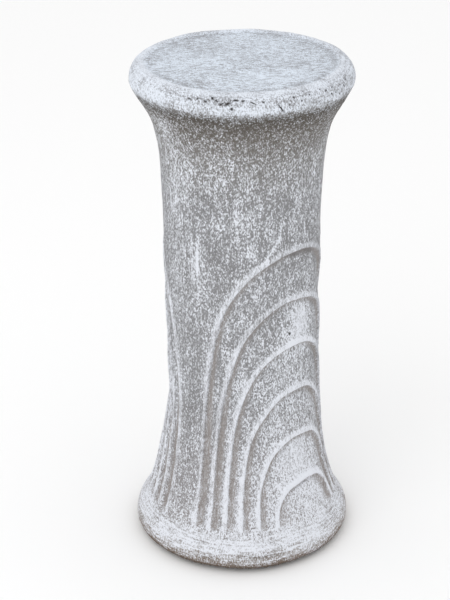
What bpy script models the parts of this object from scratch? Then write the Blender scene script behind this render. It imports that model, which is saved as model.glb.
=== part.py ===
"""Cast stone garden column: a round shaft with a rolled base, a rounded lip and two mirrored groups of arches.

Metres, +Z up. The origin is the middle of the underside. -Y faces the narrow plain strip between the two groups
of nested arches, which mirror each other across the YZ plane. Angles are in degrees round the column, from that
strip towards +X. Each arch is the raised edge of a panel: inside it the face drops into a cove, and then climbs
slowly to the edge of the next arch.
"""

import math

import bmesh
import bpy
import numpy as np

# Turned form, from the ground up
FOOT_INSET = 0.0185
BASE_RADIUS = 0.1215
BASE_WIDEST_HEIGHT = 0.0132
WAIST_RADIUS = 0.0845
WAIST_HEIGHT = 0.250
LIP_OVERHANG = 0.0155
LIP_UNDERSIDE_SLOPE = 60.5
LIP_UNDERSIDE_DROP = 0.0487
LIP_RADIUS = 0.1165
LIP_DROP = 0.0198
RIM_INSET = 0.0140
RIM_SLOPE_WIDTH = 0.0060
FIELD_SINK = 0.0016
HEIGHT = 0.550

# Handles of the turned form's curves, as shares of the stretch that each one bends
UNDERSIDE_HANDLES = (0.60, 0.80)
BASE_HANDLES = (0.103, 0.967)
SHAFT_HANDLES = (0.675, 0.151)
LIP_HANDLES = (0.21, 0.08)
RIM_HANDLES = (0.635, 0.48)

# Carving: nested arches, whose tops stand at shares of the height. Strips are half of each plain strip's width.
ARCHES = 6
FRONT_STRIP_ANGLE = 11.5
BACK_STRIP_ANGLE = 24.5
INNER_HALF_WIDTH = 24.5
INNER_DRIFT = 6.0
OUTER_TOP_SHARE = 0.665
INNER_TOP_SHARE = 0.167
ARCH_FOOT_HEIGHT = 0.040
CROWN_POWER = 2.2
LEG_POWER = 3.0
OUTER_CROWN_POWER = 2.4
OUTER_LEG_POWER = 3.5

# Section across an arch's raised edge
EDGE_RISE = 0.0012
EDGE_HALF_WIDTH = 0.0018
EDGE_SLOPE_WIDTH = 0.0065
EDGE_SLOPE_SINK = 0.0006
COVE_WIDTH = 0.0060
COVE_SINK = 0.0029
RUN_OUT = 0.011
OUTER_SLOPE_WIDTH = 0.012
FACE_ABOVE_ARCHES = 0.018

# How finely the solid is cut
SIDE_STEPS = 14
CROWN_STEPS = 28
STRIP_STEPS = 2
INNER_FACE_STEPS = 6
BASE_STEPS = 4
UNDERSIDE_STEPS = 3
UPPER_SHAFT_STEPS = 6
LIP_STEPS = 4
CURVE_SAMPLES = 400
WIDEST_SHARE = 0.45

FOOT_RADIUS = BASE_RADIUS - FOOT_INSET
NECK_RADIUS = LIP_RADIUS - LIP_OVERHANG
NECK_HEIGHT = HEIGHT - LIP_UNDERSIDE_DROP
LIP_HEIGHT = HEIGHT - LIP_DROP
RIM_RADIUS = LIP_RADIUS - RIM_INSET
FIELD_RADIUS = RIM_RADIUS - RIM_SLOPE_WIDTH
OUTER_TOP_HEIGHT = OUTER_TOP_SHARE * HEIGHT
INNER_TOP_HEIGHT = INNER_TOP_SHARE * HEIGHT
SURROUND_TOP_HEIGHT = OUTER_TOP_HEIGHT + FACE_ABOVE_ARCHES
RAYS = 2 * SIDE_STEPS + CROWN_STEPS
HALF_TURN = 180.0

STONE_COLOUR = (0.52, 0.52, 0.53, 1.0)
STONE_ROUGHNESS = 0.9


def clear_scene():
    for thing in list(bpy.data.objects):
        bpy.data.objects.remove(thing, do_unlink=True)


def bezier(start, start_handle, end_handle, end, steps):
    """Points (radius, height) along one cubic curve, its ends included."""
    t = np.linspace(0.0, 1.0, steps + 1)[:, None]
    corners = [np.array(corner, float) for corner in (start, start_handle, end_handle, end)]
    weights = ((1 - t) ** 3, 3 * (1 - t) ** 2 * t, 3 * (1 - t) * t**2, t**3)
    return sum(weight * corner for weight, corner in zip(weights, corners))


def underside_curve(steps):
    """The base's roll, from the foot out to its widest point."""
    reach = BASE_RADIUS - FOOT_RADIUS
    return bezier(
        (FOOT_RADIUS, 0.0),
        (FOOT_RADIUS + UNDERSIDE_HANDLES[0] * reach, 0.0),
        (BASE_RADIUS, (1 - UNDERSIDE_HANDLES[1]) * BASE_WIDEST_HEIGHT),
        (BASE_RADIUS, BASE_WIDEST_HEIGHT),
        steps,
    )


def shaft_curve(steps):
    """From the base's widest point in to the waist, and out again to the neck under the lip."""
    base_rise = WAIST_HEIGHT - BASE_WIDEST_HEIGHT
    neck_rise = NECK_HEIGHT - WAIST_HEIGHT
    slope = math.radians(LIP_UNDERSIDE_SLOPE)
    neck_handle = SHAFT_HANDLES[1] * neck_rise
    lower = bezier(
        (BASE_RADIUS, BASE_WIDEST_HEIGHT),
        (BASE_RADIUS, BASE_WIDEST_HEIGHT + BASE_HANDLES[0] * base_rise),
        (WAIST_RADIUS, WAIST_HEIGHT - BASE_HANDLES[1] * base_rise),
        (WAIST_RADIUS, WAIST_HEIGHT),
        steps,
    )
    upper = bezier(
        (WAIST_RADIUS, WAIST_HEIGHT),
        (WAIST_RADIUS, WAIST_HEIGHT + SHAFT_HANDLES[0] * neck_rise),
        (NECK_RADIUS - neck_handle * math.cos(slope), NECK_HEIGHT - neck_handle * math.sin(slope)),
        (NECK_RADIUS, NECK_HEIGHT),
        steps,
    )
    return np.concatenate([lower, upper[1:]])


def lip_curve(steps):
    """From the neck round the lip's widest point to the crest of its rim."""
    slope = math.radians(LIP_UNDERSIDE_SLOPE)
    lip_rise = LIP_HEIGHT - NECK_HEIGHT
    lower = bezier(
        (NECK_RADIUS, NECK_HEIGHT),
        (
            NECK_RADIUS + LIP_HANDLES[0] * lip_rise * math.cos(slope),
            NECK_HEIGHT + LIP_HANDLES[0] * lip_rise * math.sin(slope),
        ),
        (LIP_RADIUS, LIP_HEIGHT - LIP_HANDLES[1] * lip_rise),
        (LIP_RADIUS, LIP_HEIGHT),
        steps,
    )
    upper = bezier(
        (LIP_RADIUS, LIP_HEIGHT),
        (LIP_RADIUS, LIP_HEIGHT + RIM_HANDLES[0] * LIP_DROP),
        (RIM_RADIUS + RIM_HANDLES[1] * (LIP_RADIUS - RIM_RADIUS), HEIGHT),
        (RIM_RADIUS, HEIGHT),
        steps,
    )
    return np.concatenate([lower, upper[1:]])


SHAFT = shaft_curve(CURVE_SAMPLES)


def shaft_radius(height):
    return np.interp(height, SHAFT[:, 1], SHAFT[:, 0])


def arch_line(arch):
    """Angle and height of each ray's point on one arch, from its front foot over the crown to its back foot.

    The line is a superellipse that stands on the foot line. The first and last steps are the run-out above a
    foot, and the others divide what is between them evenly.
    """
    outermost = arch == 0
    inward = arch / (ARCHES - 1)
    crown_power = OUTER_CROWN_POWER if outermost else CROWN_POWER
    leg_power = OUTER_LEG_POWER if outermost else LEG_POWER
    front = FRONT_STRIP_ANGLE
    back = HALF_TURN - BACK_STRIP_ANGLE
    centre = (front + back) / 2 + INNER_DRIFT * inward**2
    half_width = (back - front) / 2 * (1 - inward) + INNER_HALF_WIDTH * inward
    top = OUTER_TOP_HEIGHT * (1 - inward) + INNER_TOP_HEIGHT * inward
    rise = top - ARCH_FOOT_HEIGHT
    turn = np.linspace(0.0, math.pi, CURVE_SAMPLES)
    sideways = np.sign(np.cos(turn)) * np.abs(np.cos(turn)) ** (2 / crown_power)
    angle = centre - half_width * sideways
    height = ARCH_FOOT_HEIGHT + rise * np.sin(turn) ** (2 / leg_power)
    return evenly_cut(angle, height)


def evenly_cut(angle, height):
    """One point for each ray along a line given by many points."""
    across = np.radians(np.diff(angle)) * shaft_radius((height[1:] + height[:-1]) / 2)
    length = np.concatenate([[0.0], np.cumsum(np.hypot(across, np.diff(height)))])
    crown = int(np.argmax(height))
    run_out_height = ARCH_FOOT_HEIGHT + RUN_OUT
    first = np.interp(run_out_height, height[: crown + 1], length[: crown + 1])
    last = np.interp(run_out_height, height[crown:][::-1], length[crown:][::-1])
    cuts = np.concatenate([[0.0], np.linspace(first, last, RAYS - 1), length[-1:]])
    return np.stack([np.interp(cuts, length, angle), np.interp(cuts, length, height)], axis=1)


def surround_line():
    """Each ray's point on the edge of the field that holds the arches: the two strips, and the top between them."""
    top = SURROUND_TOP_HEIGHT
    rise = np.concatenate(
        [[ARCH_FOOT_HEIGHT], np.linspace(ARCH_FOOT_HEIGHT + RUN_OUT, top, SIDE_STEPS)]
    )
    across = np.linspace(0.0, HALF_TURN, CROWN_STEPS + 1)[1:-1]
    front = np.stack([np.zeros(len(rise)), rise], axis=1)
    crown = np.stack([across, np.full(len(across), top)], axis=1)
    back = np.stack([np.full(len(rise), HALF_TURN), rise[::-1]], axis=1)
    return np.concatenate([front, crown, back])


def toward(line, other, distance=None, share=None):
    """A line between two others: at a distance from the first, or at a share of the way to the second."""
    if share is None:
        mean_height = (line[:, 1] + other[:, 1]) / 2
        across = np.radians(other[:, 0] - line[:, 0]) * shaft_radius(mean_height)
        gap = np.hypot(across, other[:, 1] - line[:, 1])
        share = np.minimum(distance / gap, WIDEST_SHARE)[:, None]
    return line + (other - line) * share


def relief_lines():
    """Every (line, relief) of one group of arches, from the surround inwards. Relief is metres off the shaft."""
    arches = [arch_line(arch) for arch in range(ARCHES)]
    surround = surround_line()
    middle = middle_of_feet(arches[-1])
    slope_start = toward(arches[0], surround, OUTER_SLOPE_WIDTH)
    lines = [(surround, 0.0)]
    for step in range(1, STRIP_STEPS):
        lines.append((toward(surround, slope_start, share=step / STRIP_STEPS), 0.0))
    lines.append((slope_start, 0.0))
    for line, outer, inner in zip(arches, [surround] + arches[:-1], arches[1:] + [middle]):
        if outer is not surround:
            lines.append((toward(line, outer, EDGE_SLOPE_WIDTH), -EDGE_SLOPE_SINK))
        lines.append((toward(line, outer, EDGE_HALF_WIDTH), EDGE_RISE))
        lines.append((toward(line, inner, EDGE_HALF_WIDTH), EDGE_RISE))
        lines.append((toward(line, inner, COVE_WIDTH), -COVE_SINK))
    return lines


def middle_of_feet(line):
    """The point on the foot line midway between an arch's feet, once for each ray."""
    return np.tile([(line[0, 0] + line[-1, 0]) / 2, ARCH_FOOT_HEIGHT], (len(line), 1))


def shaft_point(angle, height, relief):
    """A point on the shaft, raised by its relief, which runs out to nothing at the foot line."""
    run_out = min(1.0, (height - ARCH_FOOT_HEIGHT) / RUN_OUT)
    radius = float(shaft_radius(height)) + relief * run_out
    turn = math.radians(angle)
    return radius * math.sin(turn), -radius * math.cos(turn), height


def add_arches(mesh):
    """The field of arches on the +X half. Returns the vertices along its foot line and along its top."""
    lines = relief_lines()
    rows = []
    for line, relief in lines:
        rows.append([mesh.verts.new(shaft_point(angle, height, relief)) for angle, height in line])
    for outer, inner in zip(rows, rows[1:]):
        for ray in range(RAYS):
            mesh.faces.new((outer[ray], inner[ray], inner[ray + 1], outer[ray + 1]))
    inner_foot = add_inner_face(mesh, lines[-1][0], rows[-1])
    front_feet = [row[0] for row in rows]
    back_feet = [row[-1] for row in reversed(rows)]
    foot = front_feet + inner_foot + back_feet
    top = rows[0][SIDE_STEPS : SIDE_STEPS + CROWN_STEPS + 1]
    return foot, top


def add_inner_face(mesh, line, edge):
    """Fills the innermost arch with rungs from leg to leg. Returns the vertices between its two feet."""
    crown = RAYS // 2
    rungs = []
    for step in range(crown):
        front, back = line[step], line[RAYS - step]
        rung = [edge[step]]
        for share in np.linspace(0.0, 1.0, INNER_FACE_STEPS + 1)[1:-1]:
            angle, height = front + (back - front) * share
            swell = 4 * share * (1 - share) * COVE_SINK
            rung.append(mesh.verts.new(shaft_point(angle, height, swell - COVE_SINK)))
        rung.append(edge[RAYS - step])
        rungs.append(rung)
    for lower, upper in zip(rungs, rungs[1:]):
        for column in range(INNER_FACE_STEPS):
            mesh.faces.new((lower[column], lower[column + 1], upper[column + 1], upper[column]))
    for left, right in zip(rungs[-1], rungs[-1][1:]):
        mesh.faces.new((left, right, edge[crown]))
    return rungs[0][1:-1]


def add_turned_rows(mesh, loop, stations):
    """Carries an open loop of vertices through each (radius, height), keeping each vertex's angle."""
    for radius, height in stations:
        following = []
        for vertex in loop:
            turn = math.atan2(vertex.co.x, -vertex.co.y)
            place = (radius * math.sin(turn), -radius * math.cos(turn), height)
            following.append(mesh.verts.new(place))
        for column in range(len(loop) - 1):
            mesh.faces.new((loop[column], loop[column + 1], following[column + 1], following[column]))
        loop = following
    return loop


def base_stations():
    """Down from the foot line, round the roll of the base and in to the foot."""
    heights = np.linspace(ARCH_FOOT_HEIGHT, BASE_WIDEST_HEIGHT, BASE_STEPS + 1)[1:]
    band = [(float(shaft_radius(height)), height) for height in heights]
    return band + list(underside_curve(UNDERSIDE_STEPS)[::-1][1:])


def upper_stations():
    """Up from the top of the arches' field to the neck, round the lip and in to the sunk field on top."""
    heights = np.linspace(SURROUND_TOP_HEIGHT, NECK_HEIGHT, UPPER_SHAFT_STEPS + 1)[1:]
    shaft = [(float(shaft_radius(height)), height) for height in heights]
    return shaft + list(lip_curve(LIP_STEPS)[1:]) + [(FIELD_RADIUS, HEIGHT - FIELD_SINK)]


def stone_material():
    material = bpy.data.materials.new("whitewashed cast stone")
    material.use_nodes = True
    shader = material.node_tree.nodes["Principled BSDF"]
    shader.inputs["Base Color"].default_value = STONE_COLOUR
    shader.inputs["Roughness"].default_value = STONE_ROUGHNESS
    shader.inputs["Metallic"].default_value = 0.0
    return material


def half_column():
    """The +X half of the column, open along the YZ plane."""
    mesh = bmesh.new()
    foot, top = add_arches(mesh)
    for loop, stations in ((foot, base_stations()), (top, upper_stations())):
        mesh.faces.new(add_turned_rows(mesh, loop, stations))
    bmesh.ops.recalc_face_normals(mesh, faces=mesh.faces)
    data = bpy.data.meshes.new("column")
    mesh.to_mesh(data)
    mesh.free()
    return data


def build():
    clear_scene()
    data = half_column()
    data.materials.append(stone_material())
    data.shade_smooth()
    data.set_sharp_from_angle(angle=math.radians(70.0))
    column = bpy.data.objects.new("column", data)
    bpy.context.scene.collection.objects.link(column)
    mirror = column.modifiers.new("other half", "MIRROR")
    mirror.use_clip = True
    mirror.merge_threshold = 0.00005


build()
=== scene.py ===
"""Whitewashed cast stone garden column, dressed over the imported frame.

Metres, +Z up, in the frame's own axes. The origin is the middle of the underside, and -Y faces the narrow
plain strip between the two groups of nested arches, which mirror each other across the YZ plane. Angles run
round the column from that strip towards +X.
"""

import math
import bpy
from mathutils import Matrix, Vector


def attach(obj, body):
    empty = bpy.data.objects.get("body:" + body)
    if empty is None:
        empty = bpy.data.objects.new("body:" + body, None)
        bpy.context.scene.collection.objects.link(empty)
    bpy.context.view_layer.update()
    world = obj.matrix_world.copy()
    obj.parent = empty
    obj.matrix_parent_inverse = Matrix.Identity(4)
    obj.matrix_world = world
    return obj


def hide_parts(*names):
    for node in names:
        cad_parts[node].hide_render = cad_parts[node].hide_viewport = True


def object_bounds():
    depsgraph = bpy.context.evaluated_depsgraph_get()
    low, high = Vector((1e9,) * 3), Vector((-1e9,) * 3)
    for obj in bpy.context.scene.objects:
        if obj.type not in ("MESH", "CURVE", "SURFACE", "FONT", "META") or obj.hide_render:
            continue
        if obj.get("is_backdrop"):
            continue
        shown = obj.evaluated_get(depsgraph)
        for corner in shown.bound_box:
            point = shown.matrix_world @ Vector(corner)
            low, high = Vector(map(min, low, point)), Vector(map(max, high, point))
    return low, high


bl_info = {
    "name": "Cast Stone Column",
    "version": (1, 0, 0),
    "blender": (4, 5, 0),
    "location": "View3D > Sidebar > Column",
    "description": "Builds a whitewashed cast stone column with nested arches, and the stage it stands on",
    "category": "Add Mesh",
}

import bmesh
import bpy
import numpy as np
from bpy.props import FloatProperty, FloatVectorProperty, IntProperty, PointerProperty
from mathutils import Vector

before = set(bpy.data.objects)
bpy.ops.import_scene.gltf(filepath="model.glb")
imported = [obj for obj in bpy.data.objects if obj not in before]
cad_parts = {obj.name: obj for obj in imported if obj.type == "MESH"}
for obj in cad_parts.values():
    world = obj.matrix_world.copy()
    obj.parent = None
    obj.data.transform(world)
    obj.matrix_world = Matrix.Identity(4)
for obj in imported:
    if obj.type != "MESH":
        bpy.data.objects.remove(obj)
CAD_LOW, CAD_HIGH = (list(corner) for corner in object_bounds())

MM = 0.001
SEAM_WELD = 0.02 * MM
COLUMN_NODE = "column"
HALF_TURN = 180.0
COLUMN_SETTINGS = ("turned_form", "arch_carving", "casting_surface", "stone_finish")


def linear(hex_colour):
    """An sRGB hex colour as linear red, green, blue and alpha."""
    channels = [int(hex_colour[place : place + 2], 16) / 255 for place in (1, 3, 5)]
    return [c / 12.92 if c <= 0.04045 else ((c + 0.055) / 1.055) ** 2.4 for c in channels] + [1.0]


def length(name, description, default):
    return FloatProperty(name=name, description=description, default=default, unit="LENGTH", precision=4)


def angle(name, description, default):
    turn = math.radians(default)
    return FloatProperty(name=name, description=description, default=turn, subtype="ANGLE", unit="ROTATION")


def share(name, description, default):
    return FloatProperty(name=name, description=description, default=default, subtype="FACTOR")


def number(name, description, default):
    return FloatProperty(name=name, description=description, default=default)


def colour(name, description, default):
    shade = linear(default)
    return FloatVectorProperty(name=name, description=description, default=shade, size=4, subtype="COLOR")


class TurnedForm(bpy.types.PropertyGroup):
    """The column without its carving, from the ground up."""

    height: length("Height", "From the ground to the crest of the rim", CAD_HIGH[2])
    base_radius: length("Base radius", "Widest radius of the rolled base", CAD_HIGH[1])
    base_widest: length("Base widest at", "Height of the base's widest point", 0.0132)
    foot_inset: length("Foot inset", "How far the foot stands inside the base's widest point", 0.0185)
    waist_radius: length("Waist radius", "Narrowest radius of the shaft", 0.0845)
    waist_height: length("Waist height", "Height of the narrowest point", 0.250)
    lip_radius: length("Lip radius", "Widest radius of the lip", 0.1165)
    lip_drop: length("Lip drop", "From the rim's crest down to the lip's widest point", 0.0198)
    lip_overhang: length("Lip overhang", "From the lip's widest point in to the neck below it", 0.0155)
    underside_drop: length("Underside drop", "From the rim's crest down to the neck", 0.0487)
    underside_slope: angle("Underside slope", "Slope of the neck where it meets the lip", 60.5)
    rim_inset: length("Rim inset", "From the lip's widest point in to the rim's crest", 0.0140)
    rim_slope: length("Rim slope", "Width of the slope from the crest in to the flat top", 0.0060)
    field_sink: length("Top sink", "How far the flat top lies below the rim's crest", 0.0016)


class ArchCarving(bpy.types.PropertyGroup):
    """Nested arches, each the raised edge of a panel that drops into a cove inside it."""

    arches: IntProperty(name="Arches", description="Arches in each group", default=6)
    front_strip: angle("Front strip", "Half of the plain strip between the groups in front", 11.5)
    back_strip: angle("Back strip", "Half of the plain strip between the groups behind", 24.5)
    inner_half_width: angle("Inner half width", "Half of the innermost arch's span", 24.5)
    inner_drift: angle("Inner drift", "How far the innermost arch lies off the outermost's middle", 6.0)
    outer_top: share("Outer top", "Top of the outermost arch, as a share of the height", 0.665)
    inner_top: share("Inner top", "Top of the innermost arch, as a share of the height", 0.167)
    foot_height: length("Foot line", "Height of the line that the arches stand on", 0.040)
    crown_power: number("Crown power", "Roundness of the crowns, 2 being an ellipse", 2.2)
    leg_power: number("Leg power", "Straightness of the legs, 2 being an ellipse", 3.0)
    outer_crown_power: number("Outer crown power", "Roundness of the outermost crown", 2.4)
    outer_leg_power: number("Outer leg power", "Straightness of the outermost legs", 3.5)
    edge_rise: length("Edge rise", "Height of an arch's edge over the plain shaft", 0.0012)
    edge_half_width: length("Edge half width", "Half of the rounded top of an edge", 0.0018)
    slope_width: length("Slope width", "Width of the slope outside an edge", 0.0065)
    slope_sink: length("Slope sink", "Depth of the panel where that slope starts", 0.0006)
    outer_slope_width: length("Outer slope width", "Width of the slope outside the outermost arch", 0.012)
    cove_width: length("Cove width", "From an arch's line to the bottom of the cove inside it", 0.0060)
    cove_sink: length("Cove sink", "Depth of the coves under the plain shaft", 0.0029)
    run_out: length("Run-out", "Height over which the relief grows above the foot line", 0.011)
    face_above: length("Face above", "Plain face over the outermost crown, in the carved field", 0.018)
    wander: length("Wander", "How far an arch wavers about its line, as carved by hand", 0.0008)


class CastingSurface(bpy.types.PropertyGroup):
    """What the mould and the mix leave on the stone."""

    sway: length("Sway", "Depth of the slow unevenness of the casting", 0.0011)
    sway_size: length("Sway size", "Width of the slow unevenness", 0.055)
    pock: length("Pock", "Depth of the small unevenness", 0.00045)
    pock_size: length("Pock size", "Width of the small unevenness", 0.007)
    burr: length("Burr", "Depth of the broken edge round the foot", 0.0044)
    burr_size: length("Burr size", "Width of the broken edge's chips", 0.005)
    burr_height: length("Burr height", "Height that the broken edge reaches", 0.009)
    seed: IntProperty(name="Seed", description="Seed of the unevenness", default=7)


class StoneFinish(bpy.types.PropertyGroup):
    """Colours and grain of the stone and of the wash brushed over it."""

    wash: colour("Wash", "Thin lime wash", "#E1E4EB")
    # The bluish wash on the flat top, and half of it on the lip, is painted cool sky light on the faces that
    # look up
    sky_tinted_wash: colour("Wash on top", "Cooler wash on the flat top", "#DEE7F2")
    pit: colour("Pit", "Shadowed air holes", "#3A3736")
    cove: colour("Cove", "Bare stone in the coves, warm with old dirt", "#A09995")
    grain: length("Grain", "Size of the cement's grain, which shows as flecks", 0.00105)
    streak_width: length("Streak width", "Width of a brush streak", 0.0021)
    streak_length: length("Streak length", "Length of a brush streak", 0.034)
    lean: angle("Lean", "How far the short brush strokes lean off upright", 24.0)
    patch: length("Patch", "Size of the thicker and thinner patches of wash", 0.055)
    top_strokes: angle("Top strokes", "Direction of the brush on the flat top, from the X axis", 41.5)


class StageSetup(bpy.types.PropertyGroup):
    """Camera, floor and light."""

    azimuth: angle("Azimuth", "Camera's direction round the column, from the front strip", 41.5)
    distance: length("Distance", "Camera's distance from the axis, along the floor", 1.595)
    camera_height: length("Camera height", "Camera's height over the floor", 1.0605)
    pitch: angle("Pitch", "How far the camera looks down", 26.18)
    lens: number("Lens", "Focal length in millimetres on a 36 mm frame", 97.86)
    shift: number("Shift", "Sideways shift that sets the column right of the middle", -0.0283)
    floor_size: length("Floor size", "Side of the square floor", 14.0)
    floor: colour("Floor", "White floor", "#FBFBFB")
    sky: number("Sky", "Strength of the even light from all round", 0.96)
    key: number("Key", "Power of the large soft light overhead, in watts", 14.0)


# Turned form: each curve's two handles, as shares of its width or rise
UNDERSIDE_HANDLES = (0.60, 0.80)
BASE_HANDLES = (0.103, 0.967)
SHAFT_HANDLES = (0.675, 0.151)
LIP_HANDLES = (0.21, 0.08)
RIM_HANDLES = (0.635, 0.48)
CURVE_SAMPLES = 600


def bezier(start, start_handle, end_handle, end, steps):
    """Points (radius, height) along one cubic curve, its ends included."""
    t = np.linspace(0.0, 1.0, steps + 1)[:, None]
    corners = [np.array(corner, float) for corner in (start, start_handle, end_handle, end)]
    weights = ((1 - t) ** 3, 3 * (1 - t) ** 2 * t, 3 * (1 - t) * t**2, t**3)
    return sum(weight * corner for weight, corner in zip(weights, corners))


def underside_curve(form, steps):
    """The base's roll, from the foot out to its widest point."""
    widest = (form.base_radius, form.base_widest)
    foot = (form.base_radius - form.foot_inset, 0.0)
    out = (foot[0] + UNDERSIDE_HANDLES[0] * form.foot_inset, 0.0)
    below = (widest[0], (1 - UNDERSIDE_HANDLES[1]) * widest[1])
    return bezier(foot, out, below, widest, steps)


def shaft_curve(form, steps):
    """From the base's widest point in to the waist, and out again to the neck under the lip."""
    widest = (form.base_radius, form.base_widest)
    waist = (form.waist_radius, form.waist_height)
    neck = (form.lip_radius - form.lip_overhang, form.height - form.underside_drop)
    base_rise = waist[1] - widest[1]
    neck_rise = neck[1] - waist[1]
    above_base = (widest[0], widest[1] + BASE_HANDLES[0] * base_rise)
    below_waist = (waist[0], waist[1] - BASE_HANDLES[1] * base_rise)
    above_waist = (waist[0], waist[1] + SHAFT_HANDLES[0] * neck_rise)
    back = SHAFT_HANDLES[1] * neck_rise
    below_neck = (
        neck[0] - back * math.cos(form.underside_slope),
        neck[1] - back * math.sin(form.underside_slope),
    )
    lower = bezier(widest, above_base, below_waist, waist, steps)
    upper = bezier(waist, above_waist, below_neck, neck, steps)
    return np.concatenate([lower, upper[1:]])


def lip_curve(form, steps):
    """From the neck round the lip's widest point to the crest of its rim."""
    neck = (form.lip_radius - form.lip_overhang, form.height - form.underside_drop)
    widest = (form.lip_radius, form.height - form.lip_drop)
    crest = (form.lip_radius - form.rim_inset, form.height)
    lip_rise = widest[1] - neck[1]
    ahead = LIP_HANDLES[0] * lip_rise
    above_neck = (
        neck[0] + ahead * math.cos(form.underside_slope),
        neck[1] + ahead * math.sin(form.underside_slope),
    )
    below_widest = (widest[0], widest[1] - LIP_HANDLES[1] * lip_rise)
    above_widest = (widest[0], widest[1] + RIM_HANDLES[0] * form.lip_drop)
    outside_crest = (crest[0] + RIM_HANDLES[1] * form.rim_inset, crest[1])
    lower = bezier(neck, above_neck, below_widest, widest, steps)
    upper = bezier(widest, above_widest, outside_crest, crest, steps)
    return np.concatenate([lower, upper[1:]])


# Carved field: rays run along the arches, and rows lie beside each other across them
SIDE_STEPS = 60
CROWN_STEPS = 120
RAYS = 2 * SIDE_STEPS + CROWN_STEPS
LINE_SAMPLES = 6
STRIP_STEPS = 24
EDGE_STEPS = 2
COVE_STEPS = 4
CLIMB_STEPS = 8
SLOPE_STEPS = 4
OUTER_SLOPE_STEPS = 6
INNER_FACE_STEPS = 24
BAND_STEPS = 12
ROLL_STEPS = 9
SOLE_STEPS = 4
UPPER_SHAFT_STEPS = 30
LIP_STEPS = 12
RIM_SLOPE_STEPS = 6
FIELD_STEPS = 10
WIDEST_SHARE = 0.45
CLIMB_POWER = 1.25
INNER_COVE_POWER = 4

# Each wave of an arch's wander: how often it turns, and how far it is shifted from arch to arch
WANDER_WAVES = ((5.0, 2.1), (11.0, 4.4))

# Where the wash counts a point as crest or cove: distances from the arch lines, and heights
CROWN_CREST = 4.8 * MM
LEG_CREST = 3.4 * MM
CREST_FADE = 2.0 * MM
LEG_SHARES = (0.25, 0.8)
COVE_START = 2.6 * MM
CROWN_COVE_END = 5.0 * MM
LEG_COVE_END = 8.8 * MM
COVE_SPREAD = 0.45
COVE_LEVELS = (0.100, 0.240)
MARKS_START = 3.5 * MM
MARKS_FULL = 7.5 * MM

# How far each arch was carved off its even line, in millimetres: front leg, crown and peak
CARVED_OFF = (
    (0, -3.4, 3.1),
    (0, -1, 0),
    (-0.6, 0, 0),
    (-2, 0, 0),
    (-2.4, -0.8, 0),
    (-1.8, -1.8, 0),
)
PEAK_SHARE = 0.17


def smooth(low, high, value):
    """0 below low, 1 above high, and an even S between them."""
    t = np.clip((value - low) / (high - low), 0.0, 1.0)
    return t * t * (3 - 2 * t)


def flat_then_slope(start, middle, end, flat_steps, slope_steps):
    """Distances over a flat and then a slope, each after its share of the slope."""
    yield 0.0, start
    for step in range(1, flat_steps + 1):
        yield 0.0, start + (middle - start) * step / flat_steps
    for step in range(1, slope_steps + 1):
        yield step / slope_steps, middle + (end - middle) * step / slope_steps


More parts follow.
